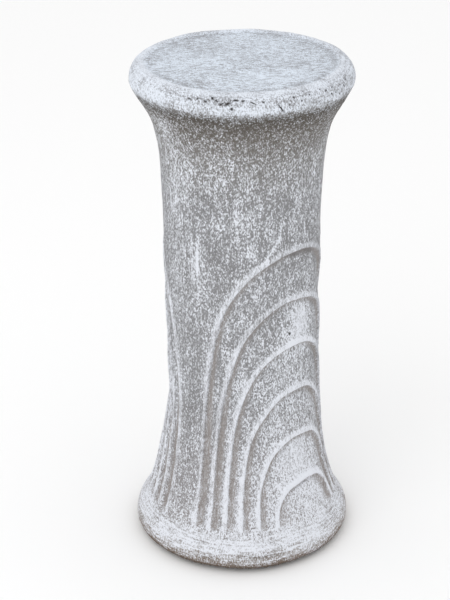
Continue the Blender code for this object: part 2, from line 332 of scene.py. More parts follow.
class CarvedField:
    """The carved field of the +X half as rows of (angle, height) points with their relief, crest and cove."""

    def __init__(self, form, carving):
        self.form = form
        self.carving = carving
        self.shaft = shaft_curve(form, CURVE_SAMPLES)
        self.top = carving.outer_top * form.height + carving.face_above

    def shaft_radius(self, height):
        return np.interp(height, self.shaft[:, 1], self.shaft[:, 0])

    def arch_line(self, arch):
        """A superellipse on the foot line: each ray's angle and height, from the front foot to the back."""
        carving = self.carving
        inward = arch / (carving.arches - 1)
        outermost = arch == 0
        crown_power = carving.outer_crown_power if outermost else carving.crown_power
        leg_power = carving.outer_leg_power if outermost else carving.leg_power
        front = carving.front_strip
        back = math.pi - carving.back_strip
        centre = (front + back) / 2 + carving.inner_drift * inward**2
        half_width = (back - front) / 2 * (1 - inward) + carving.inner_half_width * inward
        top_share = carving.outer_top * (1 - inward) + carving.inner_top * inward
        rise = top_share * self.form.height - carving.foot_height
        turn = np.linspace(0.0, math.pi, CURVE_SAMPLES)
        sideways = np.sign(np.cos(turn)) * np.abs(np.cos(turn)) ** (2 / crown_power)
        height = carving.foot_height + rise * np.sin(turn) ** (2 / leg_power)
        stray = sum(np.sin(turn * waves + shift * arch) for waves, shift in WANDER_WAVES)
        stray = stray * np.sin(turn) * carving.wander / 2
        leg_off, crown_off, peak_off = (off * MM for off in CARVED_OFF[min(arch, len(CARVED_OFF) - 1)])
        wider = stray - leg_off * np.maximum(sideways, 0.0)
        angles = centre - (half_width + wider / self.form.waist_radius) * sideways
        higher = (stray + crown_off * np.sin(turn)) * np.sin(turn)
        higher = higher + peak_off * np.exp(-((np.cos(turn) / PEAK_SHARE) ** 2))
        return self.evenly_cut(angles, height + higher)

    def evenly_cut(self, angles, heights):
        """One point for each ray along a line given by many points."""
        across = np.diff(angles) * self.shaft_radius((heights[1:] + heights[:-1]) / 2)
        along = np.concatenate([[0.0], np.cumsum(np.hypot(across, np.diff(heights)))])
        cuts = np.linspace(0.0, along[-1], RAYS + 1)
        return np.stack([np.interp(cuts, along, angles), np.interp(cuts, along, heights)], axis=1)

    def surround_line(self):
        """Each ray's point on the edge of the field: up the front, over the top and down the back."""
        rise = np.linspace(self.carving.foot_height, self.top, SIDE_STEPS + 1)
        across = np.linspace(0.0, math.pi, CROWN_STEPS + 1)[1:-1]
        front = np.stack([np.zeros(len(rise)), rise], axis=1)
        crown = np.stack([across, np.full(len(across), self.top)], axis=1)
        back = np.stack([np.full(len(rise), math.pi), rise[::-1]], axis=1)
        return np.concatenate([front, crown, back])

    def gap(self, line, other):
        across = (other[:, 0] - line[:, 0]) * self.shaft_radius((line[:, 1] + other[:, 1]) / 2)
        return np.hypot(across, other[:, 1] - line[:, 1])

    def between(self, line, other, gap, distance):
        return line + (other - line) * (distance / gap)[:, None]

    def rows(self):
        """Every row of the field, from the surround in to the innermost arch's cove."""
        arches = [self.arch_line(arch) for arch in range(self.carving.arches)]
        surround = self.surround_line()
        rows = self.outer_rows(surround, arches[0])
        for line, inner in zip(arches, arches[1:]):
            rows += self.panel_rows(line, inner)
        innermost = arches[-1]
        middle = np.tile([innermost[[0, -1], 0].mean(), self.carving.foot_height], (RAYS + 1, 1))
        return rows + self.cove_rows(innermost, middle, self.gap(innermost, middle))

    def outer_rows(self, surround, line):
        """The plain strip and the gentle slope outside the outermost arch."""
        carving = self.carving
        gap = self.gap(line, surround)
        nowhere = np.full(RAYS + 1, np.inf)
        slope = np.minimum(carving.outer_slope_width, WIDEST_SHARE * gap)
        edge = np.minimum(carving.edge_half_width, WIDEST_SHARE * slope)
        rows = []
        for part, distance in flat_then_slope(gap, slope, edge, STRIP_STEPS, OUTER_SLOPE_STEPS):
            relief = carving.edge_rise * smooth(0.0, 1.0, part)
            points = self.between(line, surround, gap, distance)
            rows.append(self.row(points, relief, self.off_line(points, line), nowhere))
        return rows

    def panel_rows(self, line, inner):
        """One panel: from its arch's line over the cove and the slow climb to the next arch's edge."""
        carving = self.carving
        gap = self.gap(line, inner)
        cove = np.minimum(carving.cove_width, WIDEST_SHARE * gap)
        slope = gap - np.minimum(carving.slope_width, WIDEST_SHARE * gap)
        edge = gap - np.minimum(carving.edge_half_width, WIDEST_SHARE**2 * gap)
        rows = self.cove_rows(line, inner, gap)
        for step in range(1, CLIMB_STEPS + 1):
            part = step / CLIMB_STEPS
            distance = cove + (slope - cove) * part
            relief = -carving.cove_sink + (carving.cove_sink - carving.slope_sink) * part**CLIMB_POWER
            rows.append(self.panel_row(line, inner, gap, distance, relief))
        for step in range(1, SLOPE_STEPS + 1):
            part = step / SLOPE_STEPS
            distance = slope + (edge - slope) * part
            rise = (carving.edge_rise + carving.slope_sink) * math.sin(part * math.pi / 2)
            relief = rise - carving.slope_sink
            rows.append(self.panel_row(line, inner, gap, distance, relief))
        return rows

    def cove_rows(self, line, inner, gap):
        """From an arch's line over its rounded edge to the bottom of the cove."""
        carving = self.carving
        edge = np.minimum(carving.edge_half_width, WIDEST_SHARE**2 * gap)
        cove = np.minimum(carving.cove_width, WIDEST_SHARE * gap)
        drop = carving.edge_rise + carving.cove_sink
        rows = []
        line_itself = np.zeros(RAYS + 1)
        for part, distance in flat_then_slope(line_itself, edge, cove, EDGE_STEPS, COVE_STEPS):
            relief = carving.edge_rise - drop * smooth(0.0, 1.0, part)
            rows.append(self.panel_row(line, inner, gap, distance, relief))
        return rows

    def panel_row(self, line, inner, gap, distance, relief):
        """A row inside a panel, with its distance to the next arch inwards and from its own arch."""
        points = self.between(line, inner, gap, distance)
        return self.row(points, relief, self.off_line(points, inner), self.off_line(points, line))

    def off_line(self, points, line):
        """How far each point lies from a line, along the stone."""
        finer = np.linspace(0.0, RAYS, LINE_SAMPLES * RAYS + 1)
        angles = np.interp(finer, np.arange(RAYS + 1), line[:, 0])
        heights = np.interp(finer, np.arange(RAYS + 1), line[:, 1])
        across = (angles - points[:, :1]) * self.shaft_radius(points[:, 1:])
        return np.hypot(across, heights - points[:, 1:]).min(axis=1)

    def row(self, points, relief, outside, inside):
        """Points with their relief, how much they belong to a crest and how much to a cove."""
        carving = self.carving
        angles, heights = points[:, 0], points[:, 1]
        above = heights - carving.foot_height
        leg = smooth(*LEG_SHARES, np.abs(np.linspace(-1.0, 1.0, RAYS + 1)))
        width = CROWN_CREST + (LEG_CREST - CROWN_CREST) * leg
        outer_side = 1 - smooth(width - CREST_FADE, width + CREST_FADE, outside)
        edge = carving.edge_half_width
        inner_side = 1 - smooth(edge, edge + CREST_FADE, inside)
        crest = np.maximum(outer_side, inner_side)
        wide = np.maximum(leg, COVE_SPREAD * (1 - smooth(*COVE_LEVELS, heights)))
        end = CROWN_COVE_END + (LEG_COVE_END - CROWN_COVE_END) * wide
        cove = smooth(COVE_START - CREST_FADE / 2, COVE_START + CREST_FADE / 2, inside)
        cove = cove * (1 - smooth(end - CREST_FADE, end + 2 * CREST_FADE, inside)) * (1 - outer_side)
        marked = smooth(MARKS_START, MARKS_FULL, above)
        return angles, heights, relief * smooth(0.0, carving.run_out, above), crest * marked, cove * marked


class SheetBuilder:
    """Gathers the vertices, faces and marks of the +X half."""

    def __init__(self):
        self.points = []
        self.crests = []
        self.coves = []
        self.faces = []

    def add_row(self, angles, radii, heights, crest, cove):
        start = len(self.points)
        for place in np.broadcast(angles, radii, heights, crest, cove):
            turn, radius, height, on_crest, in_cove = (float(value) for value in place)
            self.points.append((radius * math.sin(turn), -radius * math.cos(turn), height))
            self.crests.append(on_crest)
            self.coves.append(in_cove)
        return list(range(start, len(self.points)))

    def bridge(self, row, following):
        for column in range(len(row) - 1):
            self.faces.append((row[column], row[column + 1], following[column + 1], following[column]))

    def turned_rows(self, loop, stations):
        """Carries an open loop through each (radius, height), keeping each point's angle."""
        angles = [math.atan2(self.points[i][0], -self.points[i][1]) for i in loop]
        for radius, height in stations:
            following = self.add_row(np.array(angles), radius, height, 0.0, 0.0)
            self.bridge(loop, following)
            loop = following
        return loop


def add_inner_face(sheet, field, edge_row, edge):
    """Fills the innermost arch with rungs from leg to leg. Returns the points between its two feet."""
    angles, heights, _, _, coves = edge_row
    crown = RAYS // 2
    sink = field.carving.cove_sink
    rungs = []
    for step in range(crown):
        ends = np.array([[angles[i], heights[i], coves[i]] for i in (step, RAYS - step)])
        shares = np.linspace(0.0, 1.0, INNER_FACE_STEPS + 1)[1:-1]
        inner = ends[0] + (ends[1] - ends[0]) * shares[:, None]
        swell = sink * (1 - (2 * shares - 1) ** 2)
        grown = smooth(0.0, field.carving.run_out, inner[:, 1] - field.carving.foot_height)
        radii = field.shaft_radius(inner[:, 1]) + (swell - sink) * grown
        edge_cove = inner[:, 2] * np.abs(2 * shares - 1) ** INNER_COVE_POWER
        rung = sheet.add_row(inner[:, 0], radii, inner[:, 1], 0.0, edge_cove)
        rungs.append([edge[step]] + rung + [edge[RAYS - step]])
    for lower, upper in zip(rungs, rungs[1:]):
        sheet.bridge(lower, upper)
    for left, right in zip(rungs[-1], rungs[-1][1:]):
        sheet.faces.append((left, right, edge[crown]))
    return rungs[0][1:-1]


def half_column_mesh(form, carving):
    """The +X half of the column, open along the YZ plane, with its crest and cove marks."""
    field = CarvedField(form, carving)
    sheet = SheetBuilder()
    rows = field.rows()
    lines = []
    for angles, heights, relief, crest, cove in rows:
        radii = field.shaft_radius(heights) + relief
        lines.append(sheet.add_row(angles, radii, heights, crest, cove))
    for outer, inner in zip(lines, lines[1:]):
        sheet.bridge(outer, inner)
    inner_foot = add_inner_face(sheet, field, rows[-1], lines[-1])
    foot = [line[0] for line in lines] + inner_foot + [line[-1] for line in reversed(lines)]
    top = lines[0][SIDE_STEPS : SIDE_STEPS + CROWN_STEPS + 1]
    close_half(sheet, foot, base_stations(form, field), 0.0)
    close_half(sheet, top, upper_stations(form, field), form.height - form.field_sink)
    mesh = bpy.data.meshes.new("half column")
    mesh.from_pydata(sheet.points, [], sheet.faces)
    turn_faces_outwards(mesh)
    for name, values in (("crest", sheet.crests), ("cove", sheet.coves)):
        mesh.attributes.new(name, "FLOAT", "POINT").data.foreach_set("value", values)
    return mesh


def turn_faces_outwards(mesh):
    sheet = bmesh.new()
    sheet.from_mesh(mesh)
    bmesh.ops.recalc_face_normals(sheet, faces=sheet.faces)
    sheet.to_mesh(mesh)
    sheet.free()


def close_half(sheet, loop, stations, height):
    """Carries a loop to its last ring and closes it on the axis."""
    ring = sheet.turned_rows(loop, stations)
    middle = sheet.add_row(np.zeros(1), 0.0, height, 0.0, 0.0)[0]
    for left, right in zip(ring, ring[1:]):
        sheet.faces.append((left, right, middle))


def base_stations(form, field):
    """Down from the foot line, round the roll of the base and across the sole."""
    heights = np.linspace(field.carving.foot_height, form.base_widest, BAND_STEPS + 1)[1:]
    band = [(float(field.shaft_radius(height)), height) for height in heights]
    foot = form.base_radius - form.foot_inset
    sole = [(radius, 0.0) for radius in np.linspace(foot, 0.0, SOLE_STEPS + 1)[1:-1]]
    return band + list(underside_curve(form, ROLL_STEPS)[::-1][1:]) + sole


def upper_stations(form, field):
    """Up the plain shaft to the neck, round the lip and across the flat top."""
    neck = form.height - form.underside_drop
    heights = np.linspace(field.top, neck, UPPER_SHAFT_STEPS + 1)[1:]
    shaft = [(float(field.shaft_radius(height)), height) for height in heights]
    rim = form.lip_radius - form.rim_inset
    slope = []
    for part in np.linspace(0.0, 1.0, RIM_SLOPE_STEPS + 1)[1:]:
        sink = form.field_sink * float(smooth(0.0, 1.0, part))
        slope.append((rim - form.rim_slope * part, form.height - sink))
    flat = rim - form.rim_slope
    level = form.height - form.field_sink
    across = [(radius, level) for radius in np.linspace(flat, 0.0, FIELD_STEPS + 1)[1:-1]]
    return shaft + list(lip_curve(form, LIP_STEPS)[1:]) + slope + across


def add(tree, kind, inputs=(), **settings):
    """Adds a node with its settings. Inputs go by name or in order: values, sockets or whole nodes."""
    node = tree.nodes.new(kind)
    for name, value in settings.items():
        setattr(node, name, value)
    sockets = [socket for socket in node.inputs if socket.enabled]
    named = inputs.items() if isinstance(inputs, dict) else enumerate(inputs)
    for name, value in named:
        socket = sockets[name] if isinstance(name, int) else node.inputs[name]
        if isinstance(value, bpy.types.Node):
            value = next(output for output in value.outputs if output.enabled)
        if isinstance(value, bpy.types.NodeSocket):
            tree.links.new(value, socket)
        else:
            socket.default_value = value
    return node


# The casting surface's inputs, and for each unevenness its detail and the shift of its seed
CASTING_SIZES = ("Sway", "Sway size", "Pock", "Pock size", "Burr", "Burr size", "Burr height")
UNEVENNESS = (("Sway", 1.0, 0.0), ("Pock", 2.0, 11.0), ("Burr", 2.0, 23.0))
UNEVEN_RANGE = (0.3, 0.7, 0.0, -1.0)


def casting_tree(material):
    """Pushes the surface in by slow and small unevenness, and breaks the edge of the foot.

    Every offset goes inwards, so the casting never leaves the outline of its mould.
    """
    tree = bpy.data.node_groups.new("casting surface", "GeometryNodeTree")
    face = tree.interface
    face.new_socket("Geometry", in_out="INPUT", socket_type="NodeSocketGeometry")
    for name in CASTING_SIZES:
        face.new_socket(name, in_out="INPUT", socket_type="NodeSocketFloat")
    face.new_socket("Seed", in_out="INPUT", socket_type="NodeSocketInt")
    face.new_socket("Geometry", in_out="OUTPUT", socket_type="NodeSocketGeometry")
    given = add(tree, "NodeGroupInput").outputs
    place = add(tree, "GeometryNodeInputPosition")
    split = add(tree, "ShaderNodeSeparateXYZ", (place,)).outputs
    depth = 0.0
    for name, detail, shift in UNEVENNESS:
        scale = add(tree, "ShaderNodeMath", (1.0, given[name + " size"]), operation="DIVIDE")
        seed = add(tree, "ShaderNodeMath", (given["Seed"], shift), operation="ADD")
        pattern = {"Vector": place, "W": seed, "Scale": scale, "Detail": detail}
        noise = add(tree, "ShaderNodeTexNoise", pattern, noise_dimensions="4D")
        inwards = add(tree, "ShaderNodeMapRange", (noise, *UNEVEN_RANGE))
        deep = add(tree, "ShaderNodeMath", (inwards, given[name]), operation="MULTIPLY")
        if name == "Burr":
            rise = (split["Z"], 0.0, given["Burr height"], 1.0, 0.0)
            low = add(tree, "ShaderNodeMapRange", rise, interpolation_type="SMOOTHSTEP")
            deep = add(tree, "ShaderNodeMath", (deep, low), operation="MULTIPLY")
        depth = add(tree, "ShaderNodeMath", (depth, deep), operation="ADD")
    normal = add(tree, "GeometryNodeInputNormal")
    offset = add(tree, "ShaderNodeVectorMath", (normal, depth), operation="SCALE")
    moved = add(tree, "GeometryNodeSetPosition", {"Geometry": given["Geometry"], "Offset": offset})
    level = add(tree, "GeometryNodeInputPosition")
    held = add(tree, "ShaderNodeVectorMath", (level, (-1.0, -1.0, 0.0)), operation="MAXIMUM")
    grounded = add(tree, "GeometryNodeSetPosition", {"Geometry": moved, "Position": held})
    real = add(tree, "GeometryNodeRealizeInstances", (grounded,))
    painted = add(tree, "GeometryNodeSetMaterial", {"Geometry": real, "Material": material})
    add(tree, "NodeGroupOutput", (painted,))
    return tree


def set_inputs(modifier, values):
    """Sets a Geometry Nodes modifier's inputs by their sockets' identifiers."""
    items = modifier.node_group.interface.items_tree
    sockets = {item.name: item.identifier for item in items if item.in_out == "INPUT"}
    for name, value in values.items():
        modifier[sockets[name]] = value


def plain_mesh(thing, name):
    """The evaluated object as a plain mesh object of its own; the source object goes."""
    graph = bpy.context.evaluated_depsgraph_get()
    mesh = bpy.data.meshes.new_from_object(thing.evaluated_get(graph))
    mesh.name = name
    piece = bpy.data.objects.new(name, mesh)
    bpy.context.scene.collection.objects.link(piece)
    bpy.data.objects.remove(thing, do_unlink=True)
    return piece


# Wash put on or rubbed off by hand, in degrees and millimetres: angle and height of the middle, half width,
# half length, lean and strength
WASH_STROKES = (
    (8.2, 358, 2, 27, 1.5, 0.95),
    (5, 352, 2, 24, 3, 0.44),
    (3, 362, 5, 30, -8, 0.32),
    (12, 340, 7, 45, 2, 0.24),
    (26, 396, 1.8, 12, 0, 0.62),
    (37.4, 402, 1.8, 22, 0, 0.58),
    (44.5, 404, 8, 13, 0, 0.38),
    (47.8, 370, 7, 9, 24, 0.46),
    (63.2, 370, 1.9, 19, 36, 0.9),
    (70.5, 394, 1.9, 15, 16, 0.6),
    (62, 390, 1.8, 16, 8, 0.4),
    (92, 285, 20, 21, 0, 0.66),
    (84, 264, 12, 10, 0, 0.24),
    (30, 286, 3, 12, 6, 0.34),
    (40.5, 296, 4.5, 10, -20, 0.36),
    (47, 305, 1.8, 8, -6, 0.42),
    (84, 212, 3, 12, 10, 0.24),
    (66, 216, 3.5, 9, -28, 0.26),
    (102, 330, 12, 14, 0, 0.2),
    # These four thin the wash and darken the bare stone in thin lines just under the crowns of the two outer
    # arches: painted shadow under the crowns
    (83, 360, 14, 2.6, 0, -0.7),
    (66.5, 355, 8, 1.8, -24, -0.34),
    (100, 356, 11, 2.6, 22, -0.7),
    (99, 301, 15, 2.6, 0, -0.26),
    (11, 152, 4, 50, 0, -0.24),
    (84, 116, 28, 34, 0, 0.14),
    (-84, 116, 28, 34, 0, 0.14),
    (-20, 502, 32, 20, 0, 0.36),
    (42, 510, 30, 9, 0, -0.1),
    (27, 542, 24, 3.6, 0, -0.26),
    (50, 533.5, 30, 3.2, 0, 0.26),
    (-4, 536, 32, 6, 0, 0.18),
    (100, 536, 30, 8, 0, -0.12),
    (-9, 450, 12, 50, 0, 0.26),
    (-16, 370, 20, 90, 0, 0.16),
    (-30, 538, 24, 14, 0, 0.14),
    (48, 395, 18, 30, 20, 0.06),
    (22, 372, 10, 18, 0, -0.22),
    (16, 420, 12, 16, 0, -0.16),
    (33, 345, 11, 16, 10, -0.18),
    (84, 440, 24, 50, 0, 0.05),
    (80, 150, 50, 120, 0, 0.4),
    (80, 152, 16, 10, 0, -0.1),
    (64, 330, 30, 30, 0, 0.16),
    (80, 252, 30, 22, 0, 0.14),
    (88, 95, 40, 65, 0, 0.2),
    (34, 110, 16, 80, 0, 0.28),
    (88, 28, 50, 14, 0, -0.14),
    (-80, 140, 50, 120, 0, 0.2),
    (-34, 110, 16, 80, 0, 0.12),
    (54, 455, 11, 18, 0, -0.1),
    (9, 418, 18, 22, 0, -0.1),
    (-2, 140, 10, 80, 0, -0.18),
    (4, 190, 9, 60, 2, -0.1),
    (50, 21.5, 20, 4, 0, -0.5),
    (22, 18, 13, 2.8, 0, -0.28),
    (-26, 17.5, 16, 3.6, 0, -0.24),
    (-20, 30, 50, 11, 0, 0.16),
    (3, 30, 20, 1, 0, 0.3),
    (50, 28.5, 42, 1.1, 0, 0.4),
    (30, 24, 26, 0.9, 0, 0.3),
    (72, 24, 26, 0.9, 0, 0.3),
    (-64, 372, 2.6, 24, -30, 0.26),
    (-80, 300, 15, 26, 0, 0.22),
    (-112, 418, 10, 40, 6, 0.18),
    (-140, 250, 12, 70, 0, 0.12),
    (176, 330, 4, 45, 0, 0.22),
    (168, 300, 12, 60, 2, 0.12),
    (150, 455, 16, 24, 0, -0.1),
    (-170, 150, 10, 70, 0, -0.1),
    (132, 400, 2.8, 22, -24, 0.24),
    (-38, 21, 15, 3, 0, -0.26),
    (140, 21, 21, 3.4, 0, -0.28),
    (-125, 20, 15, 2.8, 0, -0.24),
)

# Where the cast came out leaner than its even form, in degrees and millimetres: angle and height of the
# middle, half angle, half height and depth
CAST_HOLLOWS = (
    (-48.5, 205, 55, 80, 3.2),
    (-48.5, 164, 35, 28, 3),
    (172, 330, 30, 90, 1.6),
)


def mesh_points(mesh):
    """Each vertex's place, and its angle round the column in degrees."""
    places = np.empty(len(mesh.vertices) * 3)
    mesh.vertices.foreach_get("co", places)
    points = places.reshape(-1, 3)
    return points, np.degrees(np.arctan2(points[:, 0], -points[:, 1]))


def away_from(middle, turn):
    """How far each angle lies from a middle one, the short way round."""
    return (turn - middle + HALF_TURN) % (2 * HALF_TURN) - HALF_TURN


def hollow_out(mesh):
    """Draws the surface in where the cast came out lean."""
    points, turn = mesh_points(mesh)
    radius = np.hypot(points[:, 0], points[:, 1])
    for middle, height, half_turn, half_height, depth in CAST_HOLLOWS:
        up = points[:, 2] / MM - height
        share = np.exp(-((away_from(middle, turn) / half_turn) ** 2) - (up / half_height) ** 2)
        points[:, :2] *= (1 - depth * MM * share / np.maximum(radius, depth * MM))[:, None]
    mesh.vertices.foreach_set("co", points.ravel())


def mark_strokes(mesh, form):
    """Stores how much extra wash the listed strokes leave at each point, each soft along its sides."""
    points, turn = mesh_points(mesh)
    wash = np.zeros(len(points))
    for middle, height, half_width, half_length, lean, strength in WASH_STROKES:
        across = np.radians(away_from(middle, turn)) * form.waist_radius / MM
        up = points[:, 2] / MM - height
        slant = math.radians(lean)
        wide = (across * math.cos(slant) - up * math.sin(slant)) / half_width
        long = (across * math.sin(slant) + up * math.cos(slant)) / half_length
        wash += strength * np.exp(-(np.abs(wide) ** 2) - np.abs(long) ** 3)
    mesh.attributes.new("strokes", "FLOAT", "POINT").data.foreach_set("value", wash)


# Air holes, chips and a hairline crack, in degrees and millimetres: angle and height of the middle, half
# width, half height and lean
DARK_MARKS = (
    (79.2, 268.8, 1.8, 1.7, 0),
    (15, 541.5, 2.2, 0.9, 0),
    (19, 542.5, 1.6, 0.9, 0),
    (23.5, 541.5, 2.4, 1, 12),
    (26.5, 544.5, 1.8, 1.3, -20),
    (29, 542.8, 2, 1.2, 30),
    (31.5, 540, 2.2, 1.2, -30),
    (34.5, 540.5, 4.2, 2.1, -24),
    (36.5, 536, 1.8, 1.5, 0),
    (38.5, 543.6, 3.2, 0.9, 0),
    (42, 543.2, 2.6, 0.9, -8),
    (47, 541.2, 4.6, 0.6, 24),
    (52, 542, 1.4, 0.9, 0),
    (60.5, 535, 0.9, 6.4, -40),
    (72, 539, 1.3, 1.1, 20),
    (77, 542.5, 1.4, 0.8, 0),
    (82, 534, 1.2, 1.2, 0),
    (88, 542, 1.6, 1, 0),
    (65, 537.2, 1.1, 0.9, 0),
    (68, 543, 1.5, 0.8, 10),
    (84.5, 544.4, 1.4, 0.9, 0),
    (91.5, 537.6, 1.4, 1, 16),
    (93, 543, 1.6, 0.9, -8),
    (95, 537, 1.3, 1.1, -20),
    (98, 534.2, 1.3, 1.1, 0),
    (103.5, 539.5, 1.5, 1, 0),
    (107, 543, 1.7, 0.9, -12),
    (100, 542, 1.6, 0.8, 0),
    (-61, 312, 0.7, 0.9, 0),
    (-96, 540, 2.2, 1, 10),
    (160, 401, 0.9, 0.7, 0),
    (172, 538, 1.8, 1.2, -20),
    (-118, 198, 0.7, 0.7, 0),
)

# How deep a mark reaches into the stone in millimetres, and the shares of its size between which it fades
MARK_DEPTH = 8.0
MARK_CORE = 0.45
MARK_EDGE = 1.15

# What shakes the marks out of round: the size of the noise, and how far it moves them
SHAKE_SIZE = 2.2 * MM
SHAKE = 2.8 * MM
NOISE_MIDDLE = 0.5

# How much wash lies at each height, in millimetres
WASH_LEVELS = (
    (0, -0.34),
    (8, -0.24),
    (11.5, 0.22),
    (16, 0.52),
    (21.5, 0.72),
    (34, 0.76),
    (46, 0.54),
    (70, 0.35),
    (160, 0.21),
    (260, 0.22),
    (350, 0.13),
    (420, 0.25),
    (462, 0.28),
    (490, 0.09),
    (520, -0.04),
    (526, 0.18),
    (532, 0.74),
    (550, 0.66),
)

# How much more or less wash lies at each radius of the lip and the top, in millimetres
RIM_LEVELS = (
    (0, 0),
    (70, 0),
    (88, -0.04),
    # The groove inside the rim gets less wash and shows darker: old dirt, and painted shade
    (95, -0.2),
    (98.5, 0.06),
    (102, 0.18),
    (109, 0.06),
    (116.5, -0.02),
)

# Bare stone at each height in millimetres: foot earth-stained and darkened with painted shade under the roll,
# grey shaft, neck brown and darkened further with painted shade under the lip, pale trowelled top with a
# painted cool sky tint
STONE_TINTS = (
    # The two lowest stops darken the roll's underside: earth stain with painted shade
    (0, "#54473D"),
    (8, "#675A4F"),
    (13, "#7F7268"),
    (19, "#8D857E"),
    (30, "#918D8C"),
    (60, "#949192"),
    (200, "#8C8C8E"),
    (420, "#8A8A8C"),
    # From here up to the lip's underside the neck darkens with painted shade under the lip
    (470, "#817F7D"),
    (500, "#69645E"),
    (522, "#57524C"),
    (530, "#848281"),
    (550, "#929297"),
)

# A ramp holds nothing below zero, so levels pass through it raised by this
RAMP_ZERO = 0.5


def level_ramp(tree, value, stops):
    """A colour or a level that changes with a height or a radius, from stops of place and shade."""
    end = stops[-1][0]
    tinted = isinstance(stops[0][1], str)
    share = add(tree, "ShaderNodeMath", (value, end * MM), operation="DIVIDE")
    node = add(tree, "ShaderNodeValToRGB", (share,))
    elements = node.color_ramp.elements
    for index, (stop, shade) in enumerate(stops):
        if index < 2:
            elements[index].position = stop / end
        else:
            elements.new(stop / end)
        elements[index].color = linear(shade) if tinted else (shade + RAMP_ZERO,) * 3 + (1.0,)
    return node if tinted else add(tree, "ShaderNodeMath", (node, RAMP_ZERO), operation="SUBTRACT")


# Each pattern of the stone and its wash: its share of the size it is given, stretch, detail and strength
LEANING_STROKES = (0.7, (1.0, 1.0, 8.0), 2.0, 0.86)
ROUND_STROKES = (0.7, (14.0, 14.0, 1.0), 3.0, 1.20)
TOP_STROKES = (0.7, (6.0, 1.0, 1.0), 3.0, 1.20)
FLECKS = (0.7, (1.0, 1.0, 3.0), 2.0, 0.92)
PATCHES = (1.0, (1.0, 1.0, 1.8), 2.0, 0.44)
SMALL_PATCHES = (0.25, (1.0, 1.0, 1.6), 1.0, 0.20)
CEMENT_SHADES = (0.8, (1.0, 1.0, 1.0), 2.0, 1.0)
HOLE_CLUSTERS = (1.0, (1.0, 1.0, 1.0), 1.0, 1.0)
STREAK_STRENGTH = 0.76
NOISE_ROUGHNESS = 0.6
NOISE_RANGE = (0.25, 0.75)


def mottle(tree, place, size, pattern):
    """Noise evenly about zero, with features one size wide and longer where the stretch is over 1."""
    finer, stretch, detail, strength = pattern
    scale = tuple(1.0 / (size * finer * times) for times in stretch)
    mapped = add(tree, "ShaderNodeMapping", {"Vector": place, "Scale": scale})
    grown = {"Vector": mapped, "Scale": 1.0, "Detail": detail, "Roughness": NOISE_ROUGHNESS}
    noise = add(tree, "ShaderNodeTexNoise", grown)
    return add(tree, "ShaderNodeMapRange", (noise, *NOISE_RANGE, -strength / 2, strength / 2))


def dark_marks(tree, place, form):
    """1 in the air holes, chips and crack, each an uneven ellipsoid that faces out of the stone, where the
    pit colour paints their shade.
    """
    profile = np.concatenate([shaft_curve(form, CURVE_SAMPLES), lip_curve(form, CURVE_SAMPLES)[1:]])
    noise = add(tree, "ShaderNodeTexNoise", {"Vector": place, "Scale": 1.0 / SHAKE_SIZE, "Detail": 2.0})
    centred = (noise.outputs[1], (NOISE_MIDDLE,) * 3)
    shaken = add(tree, "ShaderNodeVectorMath", centred, operation="SUBTRACT")
    shaken = add(tree, "ShaderNodeVectorMath", (shaken, (SHAKE,) * 3, place), operation="MULTIPLY_ADD")
    dark = 0.0
    for mark_angle, mark_height, half_width, half_height, lean in DARK_MARKS:
        turn = math.radians(mark_angle)
        level = mark_height * MM
        radius = float(np.interp(level, profile[:, 1], profile[:, 0]))
        around = {
            "Vector": shaken,
            "Location": (radius * math.sin(turn), -radius * math.cos(turn), level),
            "Rotation": (0.0, math.radians(lean), turn),
            "Scale": tuple(MARK_EDGE * half * MM for half in (half_width, MARK_DEPTH, half_height)),
        }
        local = add(tree, "ShaderNodeMapping", around, vector_type="TEXTURE")
        inwards = add(tree, "ShaderNodeTexGradient", (local,), gradient_type="SPHERICAL").outputs[1]
        mark = add(tree, "ShaderNodeMapRange", (inwards, 0.0, 1 - MARK_CORE / MARK_EDGE, 0.0, 1.0))
        dark = add(tree, "ShaderNodeMath", (dark, mark), operation="MAXIMUM")
    return dark


# Where the lip and the base begin for the brush, and how the top strokes sway
LIP_DROPS = 1.3
LIP_FADE = 10 * MM
RIM_FADE = 1 * MM
BASE_FADE = (0.048, 0.036)
TOP_SWAY_SIZE = 60 * MM
TOP_SWAY = 28 * MM

# Grit: one grain's stretch and its strength, and how much of the speckle each zone loses
GRAIN_SQUASH = (1.0, 1.0, 0.55)
GRIT = 0.72
CARVED_CALM = 0.74
ROUNDED_CALM = 0.40
TOP_CALM = 0.54
TOP_CALM_DROPS = (9 * MM, 3 * MM)

# Ranges: two values that are read, and the two that they become
ROUND_FIRMNESS = (0.0, 1.0, 0.50, 0.90)
NECK_CALM = (0.465, 0.505, 0.0, 0.30)
STROKE_THINNING = (0.50, 0.90, 1.0, 0.25)
CREST_WASH = (0.080, 0.260, 0.38, 0.52)
WASH_CONTRAST = (0.14, 1.00, 0.0, 1.0)
CEMENT_CONTRAST = (-0.4, 0.3, 0.60, 1.18)
# How far strokes that take wash off darken the bare stone: old stains, and painted shadow under the outer
# crowns
STAIN_AND_SHADOW_DARKENING = (-0.45, -0.08, 0.74, 1.0)
HOLE_EDGE = (0.20, 0.08, 0.0, 1.0)
CLUSTER_EDGE = (-0.1, 0.2, 0.0, 0.9)
HOLES_ON_ROUNDS = (0.0, 1.0, 0.35, 0.85)

# What a cove keeps of the wash's level, loses of its cover and shows of old dirt
COVE_SHIELD = -0.48
COVE_LOSS = -0.10
COVE_DIRT = 0.7

# Spacing and clusters of the air holes, and what each layer adds to the relief
HOLE_SPACING = 3.6 * MM
CLUSTER_SIZE = 10 * MM
FLECK_RISE = 0.5
WASH_RISE = 0.25
HOLE_RISE = -0.8
RELIEF_DEPTH = 0.8 * MM


